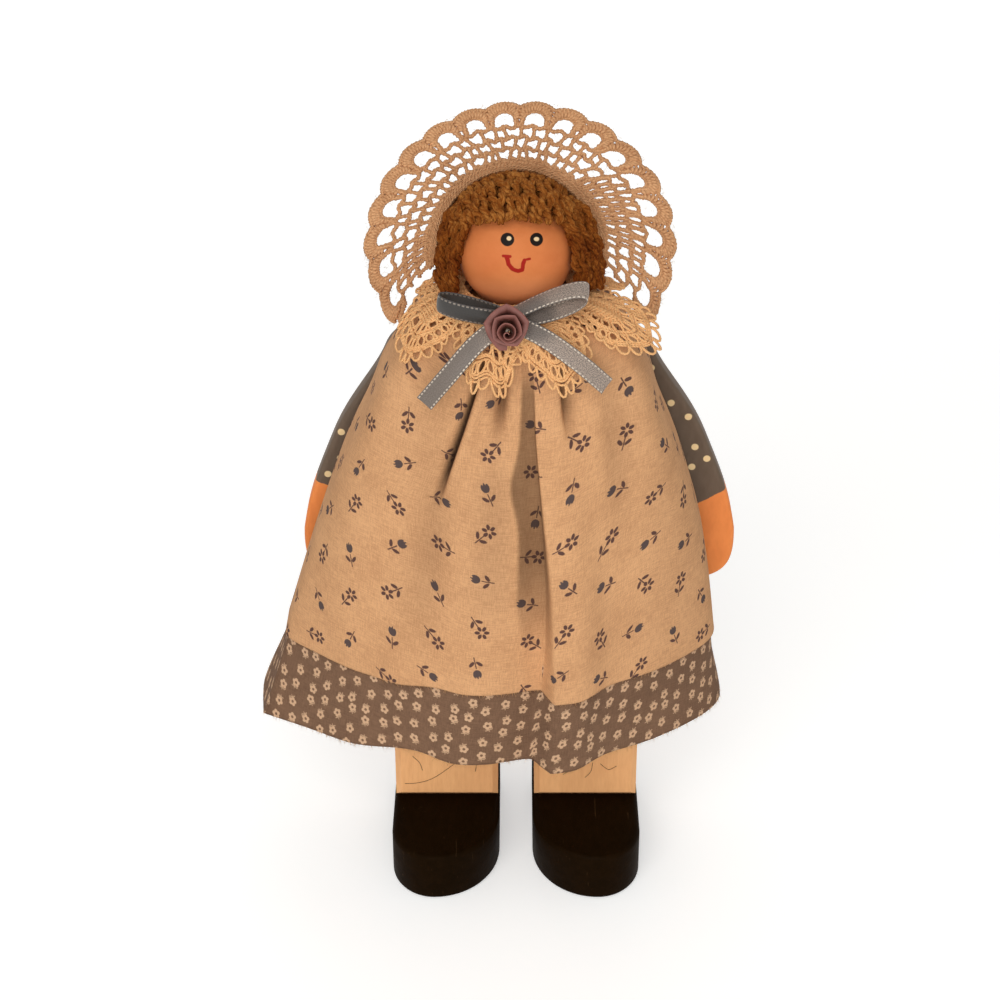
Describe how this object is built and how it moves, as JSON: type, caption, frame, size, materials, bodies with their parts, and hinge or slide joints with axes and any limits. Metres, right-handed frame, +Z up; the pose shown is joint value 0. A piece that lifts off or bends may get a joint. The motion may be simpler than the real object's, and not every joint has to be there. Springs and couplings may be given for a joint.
{
  "type": "wooden doll",
  "caption": "Standing wooden doll with screwed arms that swing outward, a gathered dress and apron, lace collar, yarn hair and an openwork crochet hat.",
  "frame": {"origin": "on the floor, under the middle of the doll's box", "axes": "+Z up, the face looks along -Y, +X to the right of a viewer in front"},
  "size_m": [0.1748, 0.0892, 0.2729],
  "materials": {
    "cream_paint": "satin cream paint on pine",
    "black_paint": "satin black paint on pine",
    "skin_paint": "matte peach paint on a turned ball",
    "arm_paint": "matte slate sleeve with cream dots, peach hand",
    "bare_wood": "bare dowel",
    "calico": "slate cotton calico with small cream flowers",
    "muslin": "cream cotton muslin with small slate flowers",
    "lace": "cotton crochet lace",
    "ribbon": "slate satin ribbon with stitched edges",
    "rose_ribbon": "mauve satin ribbon",
    "yarn": "curly brown yarn",
    "crochet": "stiffened cotton crochet",
    "screw_steel": "zinc-plated steel"
  },
  "bodies": {
    "doll": {"body_block": "cream_paint", "neck_dowel": "bare_wood", "head_ball": "skin_paint", "left_shoe": "black_paint", "left_shoe_screw_front": "screw_steel", "left_shoe_screw_rear": "screw_steel", "left_arm_washer": "screw_steel", "left_arm_screw": "screw_steel", "right_shoe": "black_paint", "right_shoe_screw_front": "screw_steel", "right_shoe_screw_rear": "screw_steel", "right_arm_washer": "screw_steel", "right_arm_screw": "screw_steel", "dress": "calico", "apron": "muslin", "lace_collar": "lace", "ribbon_bow": "ribbon", "ribbon_rose": "rose_ribbon", "hair_fringe": "yarn", "hair_left": "yarn", "hair_right": "yarn", "hair_back": "yarn", "crochet_hat": "crochet"},
    "left_arm": {"left_arm": "arm_paint"},
    "right_arm": {"right_arm": "arm_paint"}
  },
  "joints": [
    {"name": "left_arm_swing", "type": "hinge", "parent": "doll", "child": "left_arm", "pos_m": [-0.02656, 0.03574, 0.178], "axis": [0, 1, 0], "range_deg": [-20, 110]},
    {"name": "right_arm_swing", "type": "hinge", "parent": "doll", "child": "right_arm", "pos_m": [0.04344, 0.03574, 0.178], "axis": [0, -1, 0], "range_deg": [-20, 110]}
  ]
}
